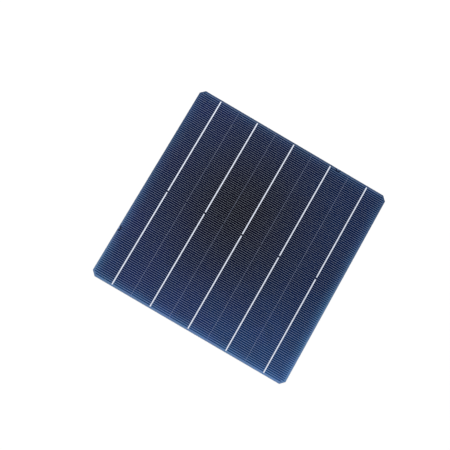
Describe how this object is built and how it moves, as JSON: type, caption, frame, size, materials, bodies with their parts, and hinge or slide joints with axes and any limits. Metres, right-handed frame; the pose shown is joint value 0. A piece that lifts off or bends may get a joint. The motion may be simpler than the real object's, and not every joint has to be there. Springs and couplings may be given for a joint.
{
  "type": "solar cell",
  "caption": "Thin square silicon solar cell with cut corners, dark blue front crossed by fine silver fingers and split busbars, and an aluminium rear with solder pads.",
  "frame": {"origin": "under the centre of the cell, on the plane that its rear face rests on", "axes": "+X along the fingers, +Y along the busbars, +Z out of the sunny front face"},
  "size_m": [0.1568, 0.1568, 0.0003],
  "materials": {
    "coated_silicon": "dark blue anti-reflection coat, nearly black at the middle and bluer at the rim",
    "busbar_silver": "fired silver print, pale and satin",
    "finger_silver": "fired silver print in fine lines",
    "aluminium_print": "matt grey fired aluminium paste",
    "rear_silver": "fired silver print, satin"
  },
  "bodies": {
    "root": {"silicon_wafer": "coated_silicon", "rear_aluminium": "aluminium_print", "rear_pad_row_1": "rear_silver", "rear_pad_row_2": "rear_silver", "rear_pad_row_3": "rear_silver", "rear_pad_row_4": "rear_silver", "rear_pad_row_5": "rear_silver", "front_busbar_1_upper": "busbar_silver", "front_busbar_1_lower": "busbar_silver", "front_busbar_2_upper": "busbar_silver", "front_busbar_2_lower": "busbar_silver", "front_busbar_3_upper": "busbar_silver", "front_busbar_3_lower": "busbar_silver", "front_busbar_4_upper": "busbar_silver", "front_busbar_4_lower": "busbar_silver", "front_busbar_5_upper": "busbar_silver", "front_busbar_5_lower": "busbar_silver", "finger_bank_1_upper": "finger_silver", "finger_bank_1_lower": "finger_silver", "finger_bank_2_upper": "finger_silver", "finger_bank_2_lower": "finger_silver", "finger_bank_3_upper": "finger_silver", "finger_bank_3_lower": "finger_silver", "finger_bank_4_upper": "finger_silver", "finger_bank_4_lower": "finger_silver", "finger_bank_5_upper": "finger_silver", "finger_bank_5_lower": "finger_silver", "finger_bank_6_upper": "finger_silver", "finger_bank_6_lower": "finger_silver"}
  },
  "joints": []
}
